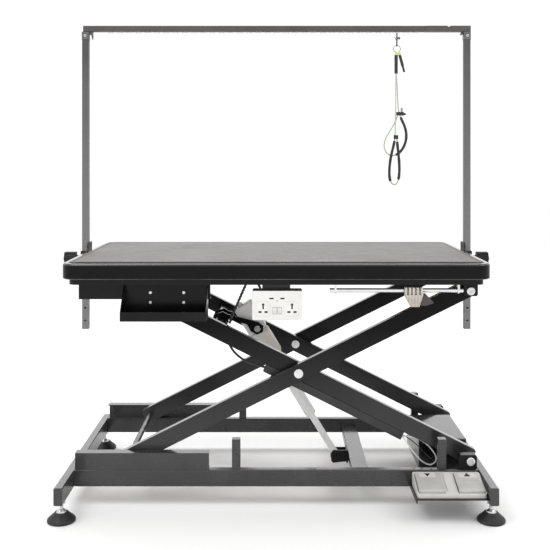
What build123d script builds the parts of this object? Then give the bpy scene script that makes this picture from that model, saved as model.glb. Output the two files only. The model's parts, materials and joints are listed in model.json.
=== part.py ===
from build123d import *
import math
import os

os.makedirs("parts", exist_ok=True)

# Electric scissor-lift grooming table, millimetres, +Z up.
# Origin: centre of the footprint on the floor. Front is -Y, right is +X.

# ---- table top ----
TOP_L, TOP_W = 1250.0, 650.0
TOP_CY = 33.0
RIM_Z0, RIM_Z1 = 683.0, 729.0
RIM_R = 42.0
RIM_T = 15.5
BOARD_T = 20.0
MAT_L, MAT_W, MAT_T, MAT_R = 1208.0, 608.0, 3.0, 28.0

# ---- base frame ----
TUBE_W, TUBE_H, WALL = 25.0, 50.0, 2.0
BASE_Z0 = 58.0
BASE_Z1 = BASE_Z0 + TUBE_H
SIDE_X = 612.5
SIDE_Y0, SIDE_Y1 = -358.0, 336.0
LONG_X = 600.0
LONG_YF, LONG_YR = -204.5, 295.5
MID_Y = 45.5

# ---- scissor ----
X_R = 577.0
Z_LO, Z_HI = 133.5, 640.0
X_ROLL = -443.0
X_MID, Z_MID = 67.0, 386.75
ARM_HALF = math.hypot(X_R - X_MID, Z_HI - Z_MID)
THETA = math.atan2(Z_HI - Z_MID, X_R - X_MID)
ARM_END = 25.0
ARM_R = 10.0
C, S = math.cos(THETA), math.sin(THETA)
OUT_Y = (-172.5, 263.5)   # centre planes of the outer arms
INN_Y = (-142.5, 233.5)   # centre planes of the inner arms
BOLT_D = 12.0
FIT = 0.1                 # added to a bore's diameter over its pin
AXLE_D = 18.0
ROLL_D, ROLL_W = 42.6, 20.0
ROLL_Y = (-200.0, 291.0)

# ---- roller tracks ----
TRK_X0, TRK_X1 = -598.0, -200.0
UTRK_X0, UTRK_X1 = -576.0, -196.0
TRK_D, TRK_H, TRK_T = 30.0, 50.0, 3.0

# ---- actuator ----
ACT_Y = 30.0
PU = (-61.0, 485.0)
PL = (196.0, 66.0)
ACT_L = math.hypot(PL[0] - PU[0], PL[1] - PU[1])
AU = ((PL[0] - PU[0]) / ACT_L, (PL[1] - PU[1]) / ACT_L)

# ---- cords ----
CORD_A_Y, CORD_B_Y = 108.5, 115.5
NOOSE_LONG = [
    (401.5, CORD_A_Y, 1319.0), (400.4, CORD_A_Y, 1268.0), (400.9, CORD_A_Y, 1214.0), (399.2, CORD_A_Y, 1160.0),
    (399.2 + 0.3, CORD_A_Y, 1110.0), (394.0, CORD_A_Y, 1078.0), (384.5, CORD_A_Y, 1042.0), (379.5, CORD_A_Y, 1004.0),
    (379.0, CORD_A_Y, 971.0), (386.0, CORD_A_Y, 948.5), (402.5, CORD_A_Y, 945.0), (411.5, CORD_A_Y, 966.0),
    (413.5, CORD_A_Y, 1002.0), (411.0, CORD_A_Y, 1040.0), (406.8, CORD_A_Y, 1074.0), (405.0, CORD_A_Y, 1099.0),
]
NOOSE_SHORT = [
    (404.0, CORD_B_Y, 1319.0), (406.5, CORD_B_Y, 1278.0), (408.2, CORD_B_Y, 1234.0), (411.0, CORD_B_Y, 1192.0),
    (420.0, CORD_B_Y, 1167.0), (432.0, CORD_B_Y, 1143.0), (438.5, CORD_B_Y, 1114.0), (434.5, CORD_B_Y, 1084.0),
    (419.0, CORD_B_Y, 1056.0), (394.0, CORD_B_Y, 1041.0), (370.0, CORD_B_Y, 1050.0), (360.5, CORD_B_Y, 1077.0),
    (369.5, CORD_B_Y, 1107.0), (387.0, CORD_B_Y, 1134.0), (401.0, CORD_B_Y, 1158.0), (408.0, CORD_B_Y, 1178.2),
]
CABLE_UPPER = [
    (-45.0, -230.0, 636.0), (-45.5, -212.0, 640.0), (-50.0, -194.0, 649.0), (-58.0, -175.0, 659.5), (-68.5, -154.0, 666.0),
    (-80.0, -134.0, 664.5), (-90.0, -118.5, 653.0), (-98.5, -109.0, 634.5), (-108.5, -105.5, 611.0), (-119.5, -104.0, 585.5),
    (-131.0, -104.5, 559.0), (-140.5, -104.0, 537.0), (-145.0, -104.0, 521.5),
]
CABLE_LOWER = [
    (-33.0, -142.5, 394.6), (-54.0, -140.5, 399.0), (-79.0, -131.0, 404.0), (-104.0, -121.0, 414.0), (-127.0, -116.0, 431.0),
    (-144.0, -116.5, 455.0), (-153.0, -117.0, 481.0), (-156.0, -116.5, 506.0), (-153.5, -116.0, 528.0),
]
WIRES = [
    (384.0, -142.5, 187.5), (401.0, -142.0, 178.5), (421.0, -139.0, 164.0), (441.0, -131.0, 144.0), (460.0, -119.0, 122.0),
    (478.0, -104.5, 102.0), (490.0, -92.0, 89.0), (495.5, -80.0, 82.0),
]

# ---- gantry ----
POST = 22.0
POST_X, POST_Y = 639.6, 112.0
POST_Z0, POST_Z1 = 463.0, 1440.0
BAR_Z0, BAR_Z1 = 1458.0, 1479.0
HOLE_P = 42.5


def report(name, item):
    print(f"{name:26s} solids={len(item.part.solids())} volume={item.part.volume / 1000:.1f} cm3")


def save(item, name):
    item.part.label = name
    export_step(item.part, f"parts/{name}.step")
    report(name, item)


def plane_y(y):
    """Plane facing -Y at the given Y: local x is +X, local y is +Z."""
    return Plane.XZ.offset(-y)


def arm_plane(y, sign):
    """Plane facing -Y through the middle pivot, local x along an arm; sign +1 rises to the right."""
    return Plane(origin=(X_MID, y, Z_MID), x_dir=(C, 0, sign * S), z_dir=(0, -1, 0))


def act_plane(y):
    """Plane facing -Y at the actuator's upper pin, local x along the actuator towards its lower end."""
    return Plane(origin=(PU[0], y, PU[1]), x_dir=(AU[0], 0, AU[1]), z_dir=(0, -1, 0))


# =====================================================================
# BASE
# =====================================================================
with BuildPart() as base_side_rails:
    for sx in (-1, 1):
        with BuildSketch(plane_y(SIDE_Y1)):
            with Locations((sx * SIDE_X, (BASE_Z0 + BASE_Z1) / 2)):
                RectangleRounded(TUBE_W, TUBE_H, 3.5)
        extrude(amount=SIDE_Y1 - SIDE_Y0)
        with BuildSketch(plane_y(SIDE_Y1 - 3)):
            with Locations((sx * SIDE_X, (BASE_Z0 + BASE_Z1) / 2)):
                RectangleRounded(TUBE_W - 2 * WALL, TUBE_H - 2 * WALL, 1.5)
        extrude(amount=SIDE_Y1 - SIDE_Y0 - 6, mode=Mode.SUBTRACT)
    # weld nuts that take the levelling feet
    with BuildSketch(Plane.XY.offset(BASE_Z0 - 8)):
        with Locations((-SIDE_X, -318), (SIDE_X, -318), (-SIDE_X, 291), (SIDE_X, 291)):
            RegularPolygon(11, 6)
    extrude(amount=9)
    with BuildSketch(Plane.XY.offset(BASE_Z0 - 9)):
        with Locations((-SIDE_X, -318), (SIDE_X, -318), (-SIDE_X, 291), (SIDE_X, 291)):
            Circle(5 + FIT / 2)
    extrude(amount=14, mode=Mode.SUBTRACT)
save(base_side_rails, "base_side_rails")

with BuildPart() as base_long_rails:
    for y in (LONG_YF, LONG_YR):
        with BuildSketch(Plane.YZ.offset(-LONG_X)):
            with Locations((y, (BASE_Z0 + BASE_Z1) / 2)):
                RectangleRounded(TUBE_W, TUBE_H, 3.5)
                RectangleRounded(TUBE_W - 2 * WALL, TUBE_H - 2 * WALL, 1.5, mode=Mode.SUBTRACT)
        extrude(amount=2 * LONG_X)
save(base_long_rails, "base_long_rails")

with BuildPart() as base_cross_member:
    with BuildSketch(plane_y(LONG_YR - 12.5)):
        with Locations((257.5, 70.5)):
            RectangleRounded(51, 25, 3)
            RectangleRounded(47, 21, 1.2, mode=Mode.SUBTRACT)
    extrude(amount=LONG_YR - LONG_YF - 25)
save(base_cross_member, "base_cross_member")

with BuildPart() as rest_posts:
    with BuildSketch(Plane.XY.offset(BASE_Z1)):
        with Locations((-119.5, LONG_YF), (493.5, LONG_YF), (-119.5, LONG_YR), (493.5, LONG_YR)):
            RectangleRounded(25, 25, 2.5)
    extrude(amount=90)
    fillet(rest_posts.faces().filter_by(Axis.Z).group_by(Axis.Z)[-1].edges(), 1.5)
    with BuildSketch(Plane.XY.offset(BASE_Z1)):
        with Locations((-119.5, LONG_YF), (493.5, LONG_YF), (-119.5, LONG_YR), (493.5, LONG_YR)):
            Rectangle(21, 21)
    extrude(amount=86, mode=Mode.SUBTRACT)
save(rest_posts, "rest_posts")

with BuildPart() as lower_tracks:
    for y0, y1 in ((-217.0, -187.0), (278.0, 308.0)):
        inward = 1 if y0 < 0 else -1
        yc = (y0 + y1) / 2
        with BuildSketch(Plane.YZ.offset(TRK_X0)):
            with Locations((yc, 133.0)):
                Rectangle(TRK_D, TRK_H)
            with Locations((yc + inward * TRK_T, 133.0)):
                Rectangle(TRK_D, TRK_H - 2 * TRK_T, mode=Mode.SUBTRACT)
        extrude(amount=TRK_X1 - TRK_X0)
save(lower_tracks, "lower_tracks")

with BuildPart() as lower_pivot_blocks:
    for yo, yi, yb in ((-217.0, -192.0, -156.0), (308.0, 283.0, 247.0)):
        top = max(yo, yi)
        with BuildSketch(plane_y(top)):
            with Locations((570.0, 130.0)):
                RectangleRounded(52, 44, 6)
        extrude(amount=25)
        far = max(yi, yb)
        with BuildSketch(plane_y(far)):
            with Locations((X_R, Z_LO)):
                Circle(12)
        extrude(amount=abs(yb - yi))
        whole = max(yo, yb)
        with BuildSketch(plane_y(whole + 1)):
            with Locations((X_R, Z_LO)):
                Circle((BOLT_D + FIT) / 2)
        extrude(amount=abs(yb - yo) + 2, mode=Mode.SUBTRACT)
save(lower_pivot_blocks, "lower_pivot_blocks")

# shoulder bolts of the lower pivots: head outside the block, plain shank through block and arm
with BuildPart() as base_pivot_bolts:
    for yh, ye in ((-217.0, -128.0), (308.0, 219.0)):
        out = -1 if yh < 0 else 1
        with BuildSketch(plane_y(max(yh, ye))):
            with Locations((X_R, Z_LO)):
                Circle(BOLT_D / 2)
        extrude(amount=abs(ye - yh))
        with BuildSketch(plane_y(yh if out < 0 else yh + 7)):
            with Locations((X_R, Z_LO)):
                Circle(12.7)
        extrude(amount=7)
    fillet(base_pivot_bolts.faces().sort_by(Axis.Y)[0].edges(), 3)
    fillet(base_pivot_bolts.faces().sort_by(Axis.Y)[-1].edges(), 3)
    with BuildSketch(plane_y(-220.5)):
        with Locations((X_R, Z_LO)):
            RegularPolygon(5, 6)
    extrude(amount=5, mode=Mode.SUBTRACT)
save(base_pivot_bolts, "base_pivot_bolts")

with BuildPart() as control_box:
    with BuildSketch(Plane.XY.offset(58)):
        with Locations((523, 50.5)):
            RectangleRounded(150, 253, 9)
    extrude(amount=97)
    fillet(control_box.faces().sort_by(Axis.Z)[-1].edges(), 7)
    # lid parting groove
    with BuildSketch(Plane.XY.offset(134)):
        with Locations((523, 50.5)):
            RectangleRounded(152, 255, 10)
            RectangleRounded(147.6, 250.6, 8, mode=Mode.SUBTRACT)
    extrude(amount=1.6, mode=Mode.SUBTRACT)
    # mounting flange against the side rail
    with BuildSketch(Plane.YZ.offset(590)):
        with Locations((50.5, 80)):
            RectangleRounded(180, 34, 4)
    extrude(amount=10)
    # mains inlet recess in the rear face
    with BuildSketch(plane_y(178)):
        with Locations((540, 95)):
            RectangleRounded(28, 20, 4)
    extrude(amount=17, mode=Mode.SUBTRACT)
    with BuildSketch(plane_y(172)):
        with Locations((533, 97), (547, 97), (540, 91)):
            Rectangle(2, 4)
    extrude(amount=13)
    # cable entry boss in the front face
    with BuildSketch(plane_y(-76)):
        with Locations((495, 82)):
            Circle(9)
    extrude(amount=4)
save(control_box, "control_box")

with BuildPart() as actuator_base_bracket:
    with BuildSketch(Plane.YZ.offset(226)):
        with Locations((ACT_Y, 70.5)):
            RectangleRounded(60, 40, 4)
    extrude(amount=6)
    for y in (ACT_Y + 18.0, ACT_Y - 13.0):
        with BuildSketch(plane_y(y)):
            with BuildLine():
                Polyline((228, 87.5), (186, 87.5), (178, 80), (178, 54), (184, 47), (228, 52), (228, 87.5))
            make_face()
        extrude(amount=5)
    # bolt heads on both cheeks
    for y in (ACT_Y + 24.0, ACT_Y - 18.0):
        with BuildSketch(plane_y(y)):
            with Locations(PL):
                RegularPolygon(8.5, 6)
        extrude(amount=6)
save(actuator_base_bracket, "actuator_base_bracket")

with BuildPart() as pedal_tray:
    with BuildSketch(Plane.XY.offset(67)):
        with Locations((498, -280.5)):
            RectangleRounded(204, 123, 4)
    extrude(amount=3)
    with BuildSketch(Plane.YZ.offset(396)):
        with Locations((-280.5, 63)):
            Rectangle(121, 10)
    extrude(amount=3)
    with BuildSketch(plane_y(-217)):
        with Locations((498, 61)):
            Rectangle(196, 14)
    extrude(amount=3)
save(pedal_tray, "pedal_tray")

PED_Y0, PED_Y1 = -333.0, -222.0
PED_XL, PED_XR, PED_W = 443.5, 557.5, 73.0
with BuildPart() as pedal_housing:
    with BuildSketch(Plane.YZ.offset(401)):
        with BuildLine():
            Polyline((PED_Y0, 70), (PED_Y1, 70), (PED_Y1, 105), (PED_Y1 - 12, 105), (PED_Y0, 80), (PED_Y0, 70))
        make_face()
    extrude(amount=198)
    fillet(pedal_housing.edges().filter_by(Axis.Z), 9)
    fillet(pedal_housing.faces().sort_by(Axis.Z)[-1].edges().filter_by(Axis.X), 2)
    # wells that hold the two pedals
    with BuildSketch(Plane.XY.offset(71.5)):
        for x in (PED_XL, PED_XR):
            with Locations((x, -281.5)):
                RectangleRounded(PED_W + 4, 91, 3)
    extrude(amount=45, mode=Mode.SUBTRACT)
    # raised ridge between the pedals
    with BuildSketch(Plane.YZ.offset(489)):
        with BuildLine():
            Polyline((-322, 75), (-236, 95), (-236, 107.5), (-322, 86), (-322, 75))
        make_face()
    extrude(amount=23)
save(pedal_housing, "pedal_housing")


def pedal_profile():
    """Side profile of a pedal plate: hinged at the rear, rising clear of the housing."""
    return Polyline((-324.5, 79.6), (-238.5, 95), (-238.5, 107), (-243, 109.5), (-320, 90), (-324.5, 86.5), (-324.5, 79.6))


PED_TILT = math.atan2(19.5, 77.0)


def pedal_top(x, y):
    """Plane just under a pedal's sloping top face."""
    return Plane(origin=(x, y, 90 + (y + 320) * 19.5 / 77.0 - 1.36), x_dir=(1, 0, 0), z_dir=(0, -math.sin(PED_TILT), math.cos(PED_TILT)))


with BuildPart() as pedal_down:
    with BuildSketch(Plane.YZ.offset(PED_XL - PED_W / 2)):
        with BuildLine():
            pedal_profile()
        make_face()
    extrude(amount=PED_W)
    fillet(pedal_down.edges().filter_by(Axis.X).group_by(Axis.Z)[-1], 2)
    # raised triangle pointing to the operator
    with BuildSketch(pedal_top(PED_XL - 2, -254)):
        Triangle(a=17, b=17, c=17, rotation=180)
    extrude(amount=2.2)
    # hinge pin
    with BuildSketch(Plane.YZ.offset(PED_XL - PED_W / 2 - 1.6)):
        with Locations((-240.5, 100)):
            Circle(2.5)
    extrude(amount=PED_W + 3.2)
save(pedal_down, "pedal_down")

with BuildPart() as pedal_up:
    with BuildSketch(Plane.YZ.offset(PED_XR - PED_W / 2)):
        with BuildLine():
            pedal_profile()
        make_face()
    extrude(amount=PED_W)
    fillet(pedal_up.edges().filter_by(Axis.X).group_by(Axis.Z)[-1], 2)
    with BuildSketch(pedal_top(PED_XR, -253)):
        Triangle(a=17, b=17, c=17)
    extrude(amount=2.2)
    # grip ribs across the middle
    with BuildSketch(pedal_top(PED_XR, -290)):
        with GridLocations(0, 8, 1, 6):
            Rectangle(60, 2.2)
    extrude(amount=2.1)
    with BuildSketch(Plane.YZ.offset(PED_XR - PED_W / 2 - 1.6)):
        with Locations((-240.5, 100)):
            Circle(2.5)
    extrude(amount=PED_W + 3.2)
save(pedal_up, "pedal_up")

for fx, fy, tag in ((-1, -318, "front_left"), (1, -318, "front_right"), (-1, 291, "rear_left"), (1, 291, "rear_right")):
    with BuildPart() as foot:
        with BuildSketch(Plane(origin=(fx * SIDE_X, fy, 0), x_dir=(1, 0, 0), z_dir=(0, -1, 0))):
            with BuildLine():
                Polyline((0, 0), (38.5, 0), (40, 1.5), (40, 6), (37, 10), (23, 22), (19.5, 26), (13.5, 26.5), (12.5, 30), (9, 33.5), (5, 35), (5, 84), (0, 84), (0, 0))
            make_face()
        revolve(axis=Axis((fx * SIDE_X, fy, 0), (0, 0, 1)))
    save(foot, f"foot_{tag}")

# =====================================================================
# ARMS
# =====================================================================


BORE = BOLT_D + FIT
ARM_SET = (
    ("inner_arm_front", INN_Y[0], -1, BORE),
    ("inner_arm_rear", INN_Y[1], -1, BORE),
    ("outer_arm_front", OUT_Y[0], 1, AXLE_D + FIT),
    ("outer_arm_rear", OUT_Y[1], 1, AXLE_D + FIT),
)
for arm_name, yc, slope, left_bore in ARM_SET:
    with BuildPart() as arm:
        with BuildSketch(arm_plane(yc + TUBE_W / 2, slope)):
            RectangleRounded(2 * (ARM_HALF + ARM_END), TUBE_H, ARM_R)
        extrude(amount=TUBE_W)
        fillet(arm.faces().filter_by(Axis.Y).edges(), 2)
        with BuildSketch(arm_plane(yc + TUBE_W / 2 - WALL, slope)):
            RectangleRounded(2 * (ARM_HALF + ARM_END) - 6, TUBE_H - 2 * WALL, ARM_R - 2)
        extrude(amount=TUBE_W - 2 * WALL, mode=Mode.SUBTRACT)
        with BuildSketch(arm_plane(yc + TUBE_W / 2 + 1, slope)):
            with Locations((ARM_HALF, 0), (0, 0)):
                Circle(BORE / 2)
            with Locations((-ARM_HALF, 0)):
                Circle(left_bore / 2)
        extrude(amount=TUBE_W + 2, mode=Mode.SUBTRACT)
    save(arm, arm_name)

DUCT_X0, DUCT_X1 = -95.0, 372.0
# cross tube between the inner arms, square to them
XT = -280.0
XT_POS = (X_MID + XT * C, Z_MID - XT * S)
with BuildPart() as inner_cross_tube:
    with BuildSketch(arm_plane(INN_Y[1] - TUBE_W / 2, -1)):
        with Locations((XT, 0)):
            RectangleRounded(25, 25, 2.5)
            RectangleRounded(21, 21, 1, mode=Mode.SUBTRACT)
    extrude(amount=INN_Y[1] - INN_Y[0] - TUBE_W)
save(inner_cross_tube, "inner_cross_tube")

# U bracket that hangs the actuator's upper pins from the cross tube
with BuildPart() as actuator_top_bracket:
    for y in (ACT_Y + 34.0, ACT_Y - 29.0):
        with BuildSketch(plane_y(y)):
            with BuildLine():
                Polyline((-212, 488), (-182, 480), (-158, 492), (-156, 515), (-94, 499), (-82, 476), (-62, 466), (-44, 474), (-42, 494), (-56, 505), (-90, 515), (-156, 531), (-172, 540), (-202, 530), (-212, 488))
            make_face()
            with Locations(Location((XT_POS[0], XT_POS[1], 0), (0, 0, 1), -math.degrees(THETA))):
                Rectangle(25.2, 25.2, mode=Mode.SUBTRACT)
            with Locations(PU):
                Circle(BORE / 2, mode=Mode.SUBTRACT)
        extrude(amount=5)
    # back web joins the two cheeks
    with BuildSketch(Plane.XY.offset(489)):
        with Locations((-209, ACT_Y)):
            Rectangle(5, 66)
    extrude(amount=20)
save(actuator_top_bracket, "actuator_top_bracket")

with BuildPart() as cable_duct:
    with BuildSketch(arm_plane(INN_Y[0] + 12.5, -1)):
        with Locations(((DUCT_X0 + DUCT_X1) / 2, -37.5)):
            Rectangle(DUCT_X1 - DUCT_X0, 25)
    extrude(amount=25)
    fillet(cable_duct.edges().sort_by(SortBy.LENGTH)[-4:], 2)
    with BuildSketch(arm_plane(INN_Y[0] + 10.5, -1)):
        with Locations(((DUCT_X0 + DUCT_X1) / 2, -37.5)):
            Rectangle(DUCT_X1 - DUCT_X0 + 2, 21)
    extrude(amount=21, mode=Mode.SUBTRACT)
save(cable_duct, "cable_duct")

# shoulder bolts carried by the inner arms: middle pivots, upper roller axles and the actuator's upper pin
with BuildPart() as inner_arm_bolts:
    for y_head, y_end, x, z, out in (
        (-185.0, -128.0, X_MID, Z_MID, -1),
        (221.0, 278.0, X_MID, Z_MID, -1),
    ):
        with BuildSketch(plane_y(y_end)):
            with Locations((x, z)):
                Circle(BOLT_D / 2)
        extrude(amount=y_end - y_head)
        with BuildSketch(plane_y(y_head)):
            with Locations((x, z)):
                Circle(13.5)
        extrude(amount=6)
    for ya, yb, yh in ((-212.0, -130.0, -130.0), (221.0, 303.0, 214.0)):
        with BuildSketch(plane_y(yb)):
            with Locations((X_ROLL, Z_HI)):
                Circle(BOLT_D / 2)
        extrude(amount=yb - ya)
        with BuildSketch(plane_y(yh + 7)):
            with Locations((X_ROLL, Z_HI)):
                RegularPolygon(11, 6)
        extrude(amount=7)
        # shoulder collar that keeps the roller in its track
        with BuildSketch(plane_y(-157 if ya < 0 else 278)):
            with Locations((X_ROLL, Z_HI)):
                Circle(9)
        extrude(amount=30 if ya < 0 else 29)
    with BuildSketch(plane_y(ACT_Y + 34)):
        with Locations(PU):
            Circle(BOLT_D / 2)
    extrude(amount=68)
    with BuildSketch(plane_y(ACT_Y - 34)):
        with Locations(PU):
            RegularPolygon(11, 6)
    extrude(amount=6)
save(inner_arm_bolts, "inner_arm_bolts")

with BuildPart() as upper_rollers:
    for y in ROLL_Y:
        with BuildSketch(plane_y(y + ROLL_W / 2)):
            with Locations((X_ROLL, Z_HI)):
                Circle(ROLL_D / 2)
        extrude(amount=ROLL_W)
    chamfer(upper_rollers.edges().filter_by(GeomType.CIRCLE), 1.5)
    for y in ROLL_Y:
        with BuildSketch(plane_y(y + ROLL_W / 2)):
            with Locations((X_ROLL, Z_HI)):
                Circle(BORE / 2)
        extrude(amount=ROLL_W, mode=Mode.SUBTRACT)
save(upper_rollers, "upper_rollers")

with BuildPart() as lower_axle:
    with BuildSketch(plane_y(302)):
        with Locations((X_ROLL, Z_LO)):
            Circle(AXLE_D / 2)
    extrude(amount=513)
    chamfer(lower_axle.edges().filter_by(GeomType.CIRCLE), 1)
save(lower_axle, "lower_axle")

with BuildPart() as lower_rollers:
    for y in ROLL_Y:
        with BuildSketch(plane_y(y + ROLL_W / 2)):
            with Locations((X_ROLL, Z_LO)):
                Circle(ROLL_D / 2)
        extrude(amount=ROLL_W)
    chamfer(lower_rollers.edges().filter_by(GeomType.CIRCLE), 1.5)
    for y in ROLL_Y:
        with BuildSketch(plane_y(y + ROLL_W / 2)):
            with Locations((X_ROLL, Z_LO)):
                Circle((AXLE_D + FIT) / 2)
        extrude(amount=ROLL_W, mode=Mode.SUBTRACT)
save(lower_rollers, "lower_rollers")

# upper pivot bolts, carried by the outer arms
with BuildPart() as outer_arm_bolts:
    for yh, ye in ((-217.0, -158.0), (308.0, 249.0)):
        out = -1 if yh < 0 else 1
        with BuildSketch(plane_y(max(yh, ye))):
            with Locations((X_R, Z_HI)):
                Circle(BOLT_D / 2)
        extrude(amount=abs(ye - yh))
        with BuildSketch(plane_y(yh - 0.5 if out < 0 else yh + 7.5)):
            with Locations((X_R, Z_HI)):
                Circle(12.7)
        extrude(amount=7)
        with BuildSketch(plane_y(yh if out < 0 else yh + 1)):
            with Locations((X_R, Z_HI)):
                Circle(BOLT_D / 2)
        extrude(amount=1)
    fillet(outer_arm_bolts.faces().sort_by(Axis.Y)[0].edges(), 3)
    fillet(outer_arm_bolts.faces().sort_by(Axis.Y)[-1].edges(), 3)
    with BuildSketch(plane_y(-221)):
        with Locations((X_R, Z_HI)):
            RegularPolygon(5, 6)
    extrude(amount=5, mode=Mode.SUBTRACT)
save(outer_arm_bolts, "outer_arm_bolts")

# =====================================================================
# ACTUATOR
# =====================================================================
with BuildPart() as actuator_gearbox:
    with BuildSketch(act_plane(ACT_Y + 26)):
        with Locations((59.5, -6.5)):
            RectangleRounded(95, 70, 10)
    extrude(amount=52)
    fillet(actuator_gearbox.faces().sort_by(Axis.Y)[0].edges(), 4)
    fillet(actuator_gearbox.faces().sort_by(Axis.Y)[-1].edges(), 4)
    # screw bosses
    with BuildSketch(act_plane(ACT_Y - 26)):
        with Locations((24, -31), (24, 18), (95, -31), (95, 18)):
            Circle(4)
    extrude(amount=1.6)
    # raised cover over the gear train
    with BuildSketch(act_plane(ACT_Y - 26)):
        with Locations((59.5, -6.5)):
            RectangleRounded(56, 40, 14)
    extrude(amount=1.4)
    # the rod runs back into the casing
    with BuildSketch(Plane(origin=(PU[0] + 108 * AU[0], ACT_Y, PU[1] + 108 * AU[1]), x_dir=(0, 1, 0), z_dir=(-AU[0], 0, -AU[1]))):
        Circle(10.6)
    extrude(amount=25, mode=Mode.SUBTRACT)
save(actuator_gearbox, "actuator_gearbox")

with BuildPart() as actuator_motor:
    with BuildSketch(act_plane(ACT_Y + 25)):
        with Locations((-38, -4)):
            RectangleRounded(98, 64, 6)
    extrude(amount=50)
    fillet(actuator_motor.faces().sort_by(Axis.Y)[0].edges(), 3)
    fillet(actuator_motor.faces().sort_by(Axis.Y)[-1].edges(), 3)
    with BuildSketch(act_plane(ACT_Y + 26)):
        with Locations((0, 0)):
            Circle(BORE / 2)
    extrude(amount=52, mode=Mode.SUBTRACT)
    # connector plug on the end
    with BuildSketch(act_plane(ACT_Y + 8)):
        with Locations((-91, -12)):
            Rectangle(12, 18)
    extrude(amount=16)
save(actuator_motor, "actuator_motor")

with BuildPart() as actuator_tube:
    with BuildSketch(Plane(origin=(PU[0] + 107 * AU[0], ACT_Y, PU[1] + 107 * AU[1]), x_dir=(0, 1, 0), z_dir=(AU[0], 0, AU[1]))):
        Circle(18)
    extrude(amount=ACT_L - 158 - 107)
    chamfer(actuator_tube.edges().filter_by(GeomType.CIRCLE), 1.2)
    with BuildSketch(Plane(origin=(PU[0] + (ACT_L - 158) * AU[0], ACT_Y, PU[1] + (ACT_L - 158) * AU[1]), x_dir=(0, 1, 0), z_dir=(-AU[0], 0, -AU[1]))):
        Circle(10.6)
    extrude(amount=250, mode=Mode.SUBTRACT)
save(actuator_tube, "actuator_tube")

with BuildPart() as actuator_rod:
    with BuildSketch(Plane(origin=(PL[0], ACT_Y, PL[1]), x_dir=(0, 1, 0), z_dir=(-AU[0], 0, -AU[1]))):
        Circle(10.5)
    extrude(amount=158 + 120)
    with BuildSketch(plane_y(ACT_Y + 11)):
        with Locations(PL):
            Circle(14)
    extrude(amount=22)
    with BuildSketch(Plane(origin=(PL[0] - 12 * AU[0], ACT_Y, PL[1] - 12 * AU[1]), x_dir=(0, 1, 0), z_dir=(-AU[0], 0, -AU[1]))):
        Circle(12.2)
    extrude(amount=13)
save(actuator_rod, "actuator_rod")

# =====================================================================
# TABLE TOP
# =====================================================================
with BuildPart() as table_rim:
    with BuildSketch(Plane.XY.offset(RIM_Z0)):
        with Locations((0, TOP_CY)):
            RectangleRounded(TOP_L, TOP_W, RIM_R)
    extrude(amount=RIM_Z1 - RIM_Z0)
    fillet(table_rim.faces().sort_by(Axis.Z)[-1].edges(), 7)
    chamfer(table_rim.faces().sort_by(Axis.Z)[0].edges(), 2)
    with BuildSketch(Plane.XY.offset(RIM_Z0 - 1)):
        with Locations((0, TOP_CY)):
            RectangleRounded(TOP_L - 2 * RIM_T, TOP_W - 2 * RIM_T, RIM_R - RIM_T)
    extrude(amount=RIM_Z1 - RIM_Z0 + 2, mode=Mode.SUBTRACT)
save(table_rim, "table_rim")

with BuildPart() as table_board:
    with BuildSketch(Plane.XY.offset(RIM_Z1 - BOARD_T)):
        with Locations((0, TOP_CY)):
            RectangleRounded(TOP_L - 2 * RIM_T - 1, TOP_W - 2 * RIM_T - 1, RIM_R - RIM_T - 0.5)
    extrude(amount=BOARD_T)
save(table_board, "table_board")

with BuildPart() as table_mat:
    with BuildSketch(Plane.XY.offset(RIM_Z1)):
        with Locations((0, TOP_CY)):
            RectangleRounded(MAT_L, MAT_W, MAT_R)
    extrude(amount=MAT_T)
    fillet(table_mat.faces().sort_by(Axis.Z)[-1].edges(), 1.2)
save(table_mat, "table_mat")

SUB_Z0, SUB_Z1 = 665.0, 709.0
with BuildPart() as subframe:
    with BuildSketch(Plane.XY.offset(SUB_Z0)):
        with Locations((0, -252), (0, 318), (0, -202), (0, 293)):
            Rectangle(1216, 30)
    extrude(amount=SUB_Z1 - SUB_Z0)
    # shallower end rails leave room for the arms' ends
    with BuildSketch(Plane.XY.offset(SUB_Z0 + 15)):
        with Locations((-593, 33), (593, 33)):
            Rectangle(30, 600)
    extrude(amount=SUB_Z1 - SUB_Z0 - 15)
    corners = [e for e in subframe.edges().filter_by(Axis.Z) if abs(e.center().X) > 607 and not -266 < e.center().Y < 332]
    fillet(corners, 25)
    # the rails are channels that open upwards, closed by the board
    with BuildSketch(Plane.XY.offset(SUB_Z0 + 2.5)):
        with Locations((0, -252), (0, 318), (0, -202), (0, 293)):
            Rectangle(1150, 25)
    extrude(amount=SUB_Z1 - SUB_Z0, mode=Mode.SUBTRACT)
save(subframe, "subframe")

with BuildPart() as upper_tracks:
    for y0, y1 in ((-217.0, -187.0), (278.0, 308.0)):
        inward = 1 if y0 < 0 else -1
        yc = (y0 + y1) / 2
        with BuildSketch(Plane.YZ.offset(UTRK_X0 - 11)):
            with Locations((yc, 640.0)):
                Rectangle(TRK_D, TRK_H)
            with Locations((yc + inward * TRK_T, 640.0)):
                Rectangle(TRK_D, TRK_H - 2 * TRK_T, mode=Mode.SUBTRACT)
        extrude(amount=UTRK_X1 - UTRK_X0 + 11)
save(upper_tracks, "upper_tracks")

with BuildPart() as upper_pivot_blocks:
    for yo, yi in ((-217.0, -192.0), (308.0, 283.0)):
        with BuildSketch(plane_y(max(yo, yi))):
            with Locations((578.5, 644.5)):
                RectangleRounded(41, 41, 6)
        extrude(amount=25)
        with BuildSketch(plane_y(-186.5 if yo < 0 else 283)):
            with Locations((X_R, Z_HI)):
                Circle(12)
        extrude(amount=5.5)
        with BuildSketch(plane_y(max(yo, yi) + 8)):
            with Locations((X_R, Z_HI)):
                Circle(BORE / 2)
        extrude(amount=42, mode=Mode.SUBTRACT)
save(upper_pivot_blocks, "upper_pivot_blocks")

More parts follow.
